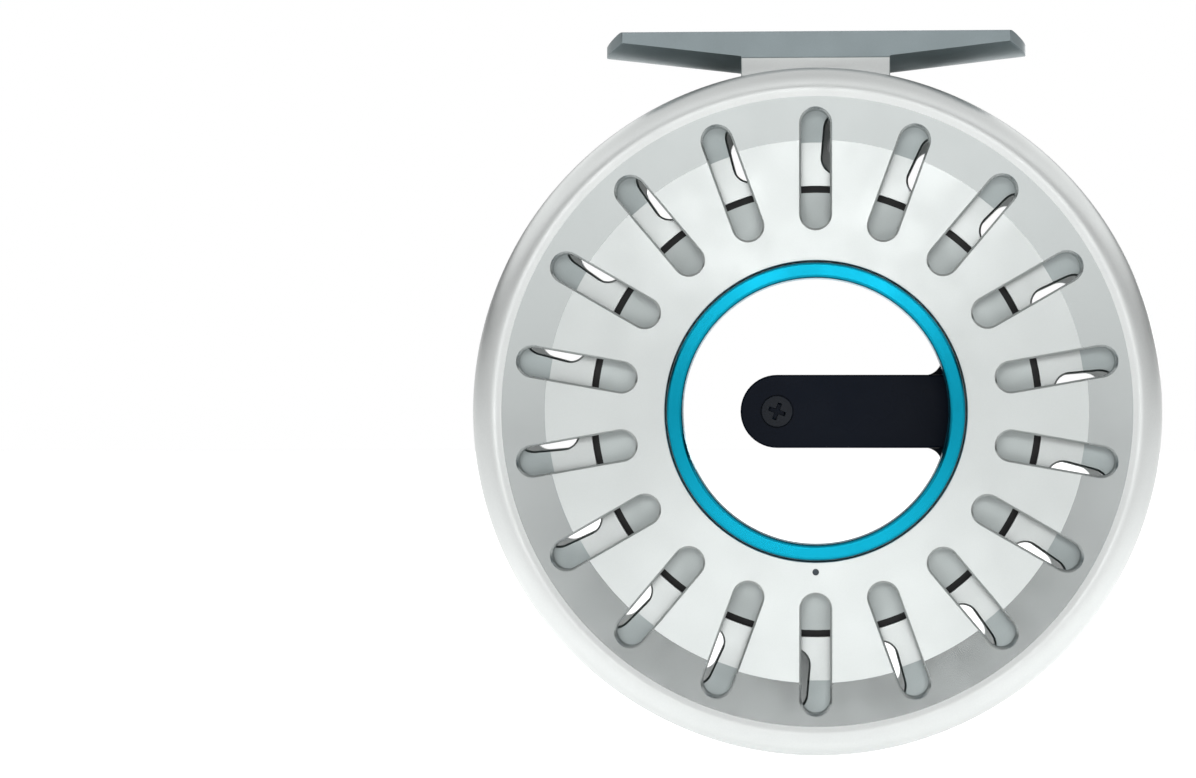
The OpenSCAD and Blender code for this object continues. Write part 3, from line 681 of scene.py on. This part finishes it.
def arm_outline(limit_r, fillets):
    """Outline of the arm from its root on a circle, seen from the front."""
    half, tip, fillet = 5.6, 11.5, 2.6
    centre_y = half + fillet
    centre_x = -math.sqrt((CENTRE_R - fillet) ** 2 - centre_y ** 2)
    if fillets:
        lower = math.degrees(math.atan2(centre_y, centre_x)) % 360
        upper_curve = arc(centre_x, centre_y, fillet, -90, lower - 360, 12)
        reach = limit_r / math.hypot(*upper_curve[-1])
        root = [(upper_curve[-1][0] * reach, upper_curve[-1][1] * reach)]
        top = list(reversed(upper_curve + root))
        start = math.degrees(math.atan2(root[0][1], root[0][0]))
    else:
        x = -math.sqrt(limit_r ** 2 - half ** 2)
        top = [(x, half)]
        start = math.degrees(math.atan2(half, x))
    back = arc(0, 0, limit_r, 360 - start, start, 10)[1:-1]
    tip_arc = arc(tip - half, 0, half, 90, -90, 24)
    bottom = [(x, -y) for x, y in reversed(top)]
    return top + tip_arc + bottom + back


def seen_from_front(points, depth):
    return [Vector((x * MM, FRONT_Y + depth * MM, AXIS_Z + z * MM)) for x, z in points]


def prism(points, start, end):
    return loft([seen_from_front(points, d) for d in (start, end)])


def centre_arm():
    """The black arm on its ring, with the recess that the thumb slide runs in."""
    face, back = ARM_DEPTHS
    flange_back = TUBE_FRONT - 0.1
    ring = rounded([(CENTRE_R, face, 0.25), (SLEEVE_R, face, 0), (SLEEVE_R, 12, 0),
                    (TUBE_R, 12, 0), (TUBE_R, flange_back, 0), (CENTRE_R, flange_back, 0.1)])
    arm = bare_object("centre_arm_detail", *revolve(ring, 192))
    wide_outline = arm_outline(CENTRE_R + 0.5, True)
    narrow_outline = arm_outline(CENTRE_R - 0.5, False)
    front = bare_object("arm_front", *prism(wide_outline, face, flange_back))
    rear = bare_object("arm_rear", *prism(narrow_outline, flange_back - 0.6, back))
    bevel_edges(rear, 0.3, 3)
    combine(front, rear, "UNION")
    pad_recess = half_stadium(PAD_RECESS_LEFT, RECESS_ENDS[1], RECESS_HALF)
    for name, cut in (
            ("recess", prism(stadium(*RECESS_ENDS, RECESS_HALF), face - 1, SLIDE_FLOOR)),
            ("recess_deep", prism(pad_recess, face - 1, RECESS_FLOOR)),
            ("link_groove", prism(rectangle(-26, -8, -1.35, 1.35), 10.98, 12.5)),
            ("screw_seat", prism(circle_points(2.55, 48, ARM_SCREW_X), back - 0.5, back + 1))):
        combine(front, bare_object(name, *cut), "DIFFERENCE")
    combine(arm, front, "UNION")
    settle(arm, BLACK, "frame", ["centre_arm"])
    # The ring's bore faces get the darker bore copy of the black: painted shade in the bore.
    arm.data.materials.append(BLACK_BORE_SHADE)
    for face in arm.data.polygons:
        out = Vector((face.center.x, 0, face.center.z - AXIS_Z))
        if abs(out.length / MM - CENTRE_R) < 0.15 and face.normal.dot(out.normalized()) < -0.7:
            face.material_index = 1


def arm_screw():
    """Countersunk cross-head screw, flush with the arm's rear face."""
    back = ARM_DEPTHS[1]
    head_r, shank_r = 2.45, 1.5

    def circle(r, depth):
        return seen_from_front(circle_points(r, 64, ARM_SCREW_X), depth)

    rings = [circle(shank_r, back - 4.4), circle(shank_r, back - 1.4), circle(head_r, back - 0.3),
             circle(head_r, back - 0.12), circle(head_r - 0.12, back - 0.03)]
    screw = bare_object("arm_screw_detail", *loft(rings))
    long, wide = 1.35, 0.34
    turn = math.radians(20)
    cross = [(long, -wide), (long, wide), (wide, wide), (wide, long), (-wide, long),
             (-wide, wide), (-long, wide), (-long, -wide), (-wide, -wide), (-wide, -long),
             (wide, -long), (wide, -wide)]

    def placed(scale):
        return [(ARM_SCREW_X + scale * (x * math.cos(turn) - z * math.sin(turn)),
                 scale * (x * math.sin(turn) + z * math.cos(turn))) for x, z in cross]

    cutter = bare_object("cross_cutter", *loft([
        seen_from_front(placed(0.55), back - 1.1), seen_from_front(placed(1.1), back + 0.2)]))
    combine(screw, cutter, "DIFFERENCE")
    settle(screw, BLACK_SCREW, "frame", ["arm_screw"])


# ---- Spool pieces --------------------------------------------------------------------------

FRONT_FACE = SPOOL_FRONT + 1.0
FRONT_BACK = FRONT_FACE + 3.1
CONE_OUTER_R = 37.4
SPOOL_CREASE_R = 46.8
FRONT_RISE = 0.3
REAR_RISE = 0.133
HANDLE_ANGLE = SPOOL_TURN - 90


def front_surface(r):
    """Depth of the front flange's outer face at a radius."""
    return FRONT_FACE + max(0.0, CONE_OUTER_R - r) * FRONT_RISE


def front_outline():
    crown_r = 2.2
    crown = arc(48.8, SPOOL_FRONT + crown_r, crown_r, 250, 350, 20)
    return (
        [(33.5, front_surface(33.5)), (33.4, front_surface(33.5) + 0.1), (33.4, FRONT_BACK),
         (49.2, FRONT_BACK), (49.2, SPOOL_LIP - 0.1), (49.3, SPOOL_LIP), (50.0, SPOOL_LIP),
         (50.22, SPOOL_LIP - 0.2)]
        + [(SPOOL_R - 0.02 - 0.055 * k * k, 5 + 0.62 * k) for k in (4, 3, 2, 1)]
        + [(SPOOL_R, 4.2), (SPOOL_R, 2.6), (SPOOL_R - 0.06, 1.4), (SPOOL_R - 0.14, 0.6)]
        + list(reversed(crown))
        + [(47.75, FRONT_FACE - 0.55), (47.35, FRONT_FACE - 0.22), (47.05, FRONT_FACE - 0.06),
           (SPOOL_CREASE_R, FRONT_FACE)]
        + [(r, front_surface(r)) for r in (45.5, 43, 40.5, 38, 37.6)]
        + [(CONE_OUTER_R, FRONT_FACE + 0.01)]
        + [(r, front_surface(r)) for r in (37.2, 36.5, 35, 34)]
    )


def spool_front():
    """Front flange: flat, with a cone towards the middle, a rounded rim and chamfered slots."""
    flange = bare_object("spool_front_detail", *revolve(front_outline()))
    cutters = bare_object("front_cutters", *slot_cutters(
        HANDLE_ANGLE, SPOOL_FRONT_SLOT, front_surface, -1, FRONT_BACK + 1, HANDLE_AND_WEIGHT))
    combine(flange, cutters, "DIFFERENCE")
    settle(flange, SILVER, "spool", ["spool_front_flange"])
    # The cone gets a darker copy of the silver and the outer face a lighter one: painted shade and painted light.
    painted_tone_by_radius(flange, [(0, SILVER_CONE_SHADE), (CONE_OUTER_R, SILVER_RIM_LIT)])
    turned_normals(flange, [(33, CONE_OUTER_R, FRONT_RISE), (CONE_OUTER_R, SPOOL_CREASE_R, 0)], -1)


def spool_rear():
    """Rear flange: flat inside, sloped outside, with chamfered slots."""
    inner, flat_end, flat, front = ARBOR_R - 1.5, 40.5, 25.0, 23.0

    def surface(r):
        return flat + max(0.0, r - flat_end) * REAR_RISE

    edge = REAR_FLANGE_R
    outline = (
        [(inner, front), (inner, flat)] + [(r, flat) for r in (36, 38, 40.1)]
        + [(flat_end, surface(flat_end) + 0.01)] + [(r, surface(r)) for r in (41, 43, 45, 46.4)]
        + arc(edge - 1.0, surface(46.5) - 1.0, 1.0, 80, 0, 7)
        + arc(edge - 0.7, front + 0.7, 0.7, 0, -90, 6))
    flange = bare_object("spool_rear_detail", *revolve(outline))
    cutters = bare_object("rear_flange_cutters", *slot_cutters(
        HANDLE_ANGLE, SPOOL_REAR_SLOT, surface, 1, front - 1))
    combine(flange, cutters, "DIFFERENCE")
    settle(flange, SILVER, "spool", ["spool_rear_flange"])
    # The outer slope gets a darker copy of the silver: painted shade.
    painted_tone_by_radius(flange, [(0, SILVER), (flat_end, SILVER_INNER_SHADE)])
    turned_normals(flange, [(34, flat_end, 0), (flat_end, 46.5, REAR_RISE)], 1)


def counterweight():
    """Polished stadium stud, rounded all over its outer end."""
    angle = math.radians(HANDLE_ANGLE + 180)
    low, high = WEIGHT_BOX
    height = (high[1] - low[1]) / MM
    half_length, half_width, place_r, round_r = 5.2, 3.7, 41.9, 1.15
    rings = []
    steps = [(0.0, 0.0), (0.0, height - round_r)]
    steps += [(round_r * (1 - math.cos(t)), height - round_r + round_r * math.sin(t)) for t in
              [math.pi / 2 * k / 7 for k in range(1, 8)]]
    steps += [(1.6, height), (2.3, height)]
    for inset, rise in steps:
        outline = stadium(-half_length, half_length, half_width, -inset, steps=20)
        rings.append([on_axis(0, 0, FRONT_FACE - min(rise, height)) + Vector(
            ((place_r + x) * math.cos(angle) - z * math.sin(angle), 0,
             (place_r + x) * math.sin(angle) + z * math.cos(angle))) * MM for x, z in outline])
    weight = bare_object("counterweight_detail", *loft(rings))
    settle(weight, CHROME, "spool", ["counterweight"])


def turned_on_handle(outline, segments=96):
    """A (radius, height) outline turned about the handle's axis, height towards the user."""
    centre = Vector(((KNOB_BOX[0][0] + KNOB_BOX[1][0]) / 2, FRONT_Y + FRONT_FACE * MM,
                     (KNOB_BOX[0][2] + KNOB_BOX[1][2]) / 2))
    count = len(outline)
    verts, faces = [], []
    for s in range(segments):
        t = 2 * math.pi * s / segments
        verts += [centre + Vector((r * math.cos(t), -h, r * math.sin(t))) * MM for r, h in outline]
        a, b = s * count, (s + 1) % segments * count
        faces += [(a + i, a + (i + 1) % count, b + (i + 1) % count, b + i) for i in range(count)]
    return verts, faces


def handle_knob():
    """Turned knob with a waist, rounded end flanges and a shallow dished end."""
    length = (FRONT_Y + FRONT_FACE * MM - KNOB_BOX[0][1]) / MM
    end_r = (KNOB_BOX[1][0] - KNOB_BOX[0][0]) / 2 / MM
    waist_r, cut_r = 3.6, 24.0
    span = math.degrees(math.asin(8.3 / cut_r))
    waist = arc(waist_r + cut_r, length / 2, cut_r, 180 + span, 180 - span, 28)
    outline = (
        [(1.9, 0.7), (end_r - 0.5, 0.7)] + arc(end_r - 0.5, 1.2, 0.5, -90, 0, 6)
        + waist
        + arc(end_r - 0.6, length - 0.6, 0.6, 0, 90, 7)
        + [(4.0, length), (3.9, length - 0.1), (3.9, length - 1.6), (1.9, length - 1.6)])
    knob = turned_on_handle(outline)
    make("handle_knob_detail", *knob, KNOB, "handle", ["handle_knob"], "black_knob")
    cap = [(0.02, length - 0.62), (1.0, length - 0.6), (2.0, length - 0.52), (3.0, length - 0.36),
           (3.6, length - 0.2), (3.84, length - 0.16), (3.88, length - 0.24), (3.88, length - 1.5),
           (0.02, length - 1.5)]
    cap = turned_on_handle(cap)
    make("handle_cap_detail", *cap, KNOB, "handle", ["handle_cap"], "black_knob")


# ---- Drag pieces ---------------------------------------------------------------------------

def drag_ring():
    """Flat ring with rounded rear edges that the drag is turned by."""
    front, back = DRAG_RING_DEPTHS
    inner = 19.75
    outline = rounded([(inner, front, 0.1), (inner, back - 0.35, 0.4), (inner + 0.35, back, 0.35),
                       (DRAG_RING_R - 0.25, back, 0.3), (DRAG_RING_R, back - 0.25, 0.3),
                       (DRAG_RING_R, front, 0.1)], 4)
    make("drag_ring_detail", *revolve(outline), CYAN, "drag_adjuster", ["drag_ring"],
         "cyan_anodised")


# Narrow and wide part of the keeper's T-slot, and the link's notch, as (outline, start, end)
KEEPER_SLOTS = [(rectangle(-1.2, 10.8, -1.1, 1.1), 11.2, 13),
                (rectangle(-1.2, 10.8, -1.7, 1.7), 10.6, 11.45),
                (rectangle(-5.0, -2.2, -1.2, 1.2), 11.0, 13)]


def thumb_slide():
    """Stadium slide with a raised thumb pad and a fine step across it."""
    gap = 0.05
    low = ARM_DEPTHS[0] + 1.15
    plate = bare_object("thumb_slide_detail", *prism(
        stadium(*SLIDE_ENDS, SLIDE_HALF), low, SLIDE_FLOOR - gap))
    bevel_edges(plate, 0.12, 2)
    pad_outline = half_stadium(PAD_LEFT, SLIDE_ENDS[1], SLIDE_HALF)
    pad = bare_object("thumb_pad", *prism(pad_outline, ARM_DEPTHS[0], RECESS_FLOOR - gap))
    bevel_edges(pad, 0.2, 3)
    combine(plate, pad, "UNION")
    for outline, start, end in KEEPER_SLOTS:
        combine(plate, bare_object("keeper_slot", *prism(outline, start, end)), "DIFFERENCE")
    settle(plate, BLACK, "release_slide", ["thumb_slide"])


# ---- Room, lights and camera ---------------------------------------------------------------

FLOOR_Z = cad_box[0][2] - 0.00002
FLOOR_GLOW = 0.35
# Painted pool of light: the floor glows brighter near the reel, fading to FLOOR_GLOW across GLOW_RADII.
FLOOR_GLOW_NEAR = 0.9
GLOW_RADII = (0.05, 0.22)  # metres from the middle of the floor
FLOOR_R = 4.0
# Height in the room, from the horizon to straight up, with the grey of the light there
ROOM_LIGHT = [(0.0, 1.0), (0.13, 1.0), (0.18, 0.06), (0.34, 0.05), (0.43, 1.8), (1.0, 0.9)]
KEY_SIZE, KEY_POWER = (0.26, 0.10), 0.95
TABLE_SIZE, TABLE_POWER = (0.22, 0.16), 0.08


def backdrop():
    """Round white light table, with a faint grain, that fades into the white room. Its glow is brighter round the
    middle: a painted pool of light under the reel.
    """
    material, nodes, links, shader = new_material("pale_floor", (0.9, 0.9, 0.9), 0.0, 0.6)
    coordinates = nodes.new("ShaderNodeTexCoord")
    grain = noise(nodes, links, coordinates, 40.0, 2.0)
    rough = ramp_between(nodes, links, grain.outputs["Fac"], 0.55, 0.65)
    links.new(rough, shader.inputs["Roughness"])
    shader.inputs["Emission Color"].default_value = (1, 1, 1, 1)
    length = nodes.new("ShaderNodeVectorMath")
    length.operation = "LENGTH"
    links.new(coordinates.outputs["Object"], length.inputs[0])
    # Painted pool of light round the reel: the glow fades with distance from the middle.
    glow = nodes.new("ShaderNodeMapRange")
    glow.interpolation_type = "SMOOTHSTEP"
    glow.inputs["From Min"].default_value = GLOW_RADII[0]
    glow.inputs["From Max"].default_value = GLOW_RADII[1]
    glow.inputs["To Min"].default_value = FLOOR_GLOW_NEAR
    glow.inputs["To Max"].default_value = FLOOR_GLOW
    links.new(length.outputs["Value"], glow.inputs["Value"])
    links.new(glow.outputs["Result"], shader.inputs["Emission Strength"])
    ring = [(x, y, 0) for x, y in circle_points(FLOOR_R, 96)]
    mesh = bpy.data.meshes.new("pale_floor")
    mesh.from_pydata(ring, [], [tuple(range(len(ring)))])
    mesh.materials.append(material)
    floor = bpy.data.objects.new("pale_floor", mesh)
    floor.location = (0, 0, FLOOR_Z)
    bpy.context.collection.objects.link(floor)


def area_light(name, place, target, size, power):
    data = bpy.data.lights.new(name, "AREA")
    data.shape = "RECTANGLE"
    data.size, data.size_y = size
    data.energy = power
    light = bpy.data.objects.new(name, data)
    light.location = place
    light.rotation_mode = "QUATERNION"
    light.rotation_quaternion = (Vector(target) - Vector(place)).to_track_quat("-Z", "Y")
    bpy.context.collection.objects.link(light)


def world_light():
    """Soft white room: bright round the horizon, with a dark band above eye level."""
    world = bpy.data.worlds.new("studio")
    bpy.context.scene.world = world
    world.use_nodes = True
    nodes, links = world.node_tree.nodes, world.node_tree.links
    background = nodes["Background"]
    coordinates = nodes.new("ShaderNodeTexCoord")
    split = nodes.new("ShaderNodeSeparateXYZ")
    ramp = nodes.new("ShaderNodeValToRGB")
    links.new(coordinates.outputs["Generated"], split.inputs["Vector"])
    links.new(split.outputs["Z"], ramp.inputs["Fac"])
    links.new(ramp.outputs["Color"], background.inputs["Color"])
    for _ in ROOM_LIGHT[2:]:
        ramp.color_ramp.elements.new(0.5)
    for element, (place, grey) in zip(ramp.color_ramp.elements, ROOM_LIGHT):
        element.position = place
        element.color = (grey, grey, grey, 1)
    background.inputs["Strength"].default_value = 1.0


def lights():
    centre = (0, 0, AXIS_Z)
    area_light("key_rear", (0.0, 1.35, 0.06), centre, KEY_SIZE, KEY_POWER)
    area_light("key_front", (-0.45, -1.30, 0.06), centre, KEY_SIZE, KEY_POWER)
    for side, name in ((1, "table_rear"), (-1, "table_front")):
        place = (0, side * 0.40, FLOOR_Z + 0.0005)
        area_light(name, place, (place[0], place[1], 1), TABLE_SIZE, TABLE_POWER)


def camera():
    """Looks square at the reel's rear side, turned a little so the reel stands right of centre."""
    data = bpy.data.cameras.new("camera")
    data.sensor_width = 36
    data.lens = 106.9
    distance = 0.530
    yaw, pitch = math.radians(3.507), math.radians(0.361)
    cam = bpy.data.objects.new("camera", data)
    cam.location = (0, FRONT_Y + RIM_CENTRE[1] * MM + distance, AXIS_Z)
    level = math.cos(pitch)
    look = Vector((math.sin(yaw) * level, -math.cos(yaw) * level, math.sin(pitch)))
    cam.rotation_mode = "QUATERNION"
    cam.rotation_quaternion = look.to_track_quat("-Z", "Y")
    data.clip_start, data.clip_end = 0.01, 50
    bpy.context.collection.objects.link(cam)
    bpy.context.scene.camera = cam


def main():
    dress_cad_nodes()
    rear_plate()
    index_dot()
    reel_foot()
    dish_cover()
    centre_arm()
    arm_screw()
    spool_front()
    spool_rear()
    counterweight()
    handle_knob()
    drag_ring()
    thumb_slide()
    backdrop()
    world_light()
    lights()
    camera()
    scene = bpy.context.scene
    scene.view_settings.view_transform = "Standard"
    scene.view_settings.look = "None"


main()
